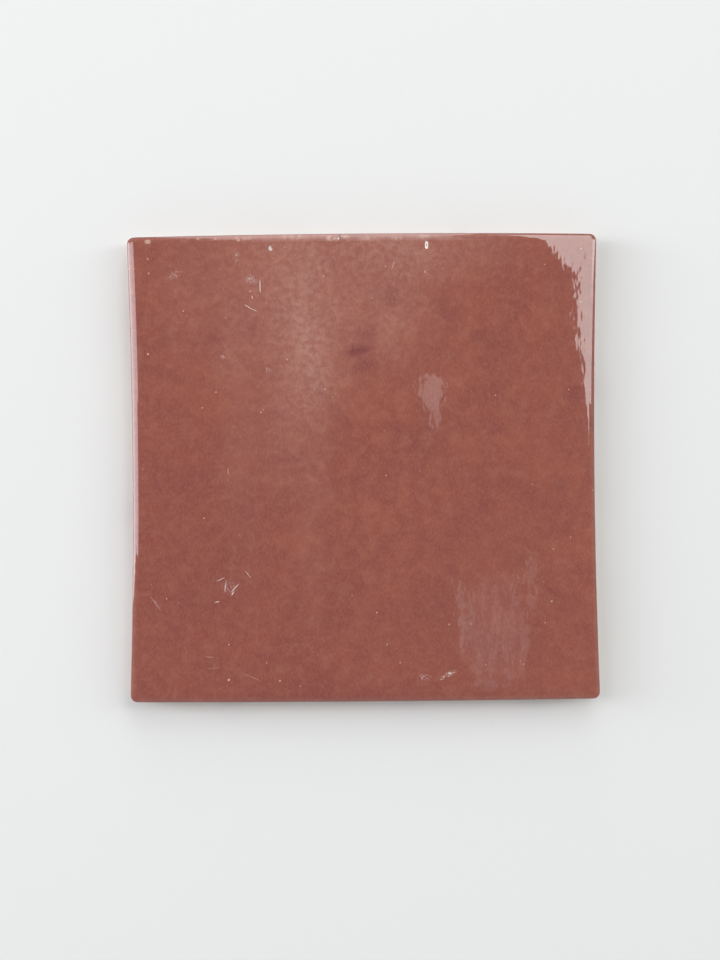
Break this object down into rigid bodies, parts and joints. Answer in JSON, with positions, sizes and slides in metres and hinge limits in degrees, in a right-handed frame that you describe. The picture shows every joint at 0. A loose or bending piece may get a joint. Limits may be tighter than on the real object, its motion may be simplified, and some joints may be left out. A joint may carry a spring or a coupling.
{
  "type": "glazed wall tile",
  "caption": "Square ceramic wall tile with a gently uneven gloss-glazed face, rolled edges and a grooved back that beds in adhesive.",
  "frame": {"origin": "under the middle of the tile's outline, on the plane of its back", "axes": "+X to the right of the face, +Y up the face as it is held in the picture, +Z out of the glazed face"},
  "size_m": [0.1308, 0.1304, 0.01],
  "materials": {
    "glaze": "gloss"
  },
  "bodies": {
    "root": {"glazed_tile": "glaze"}
  },
  "joints": []
}
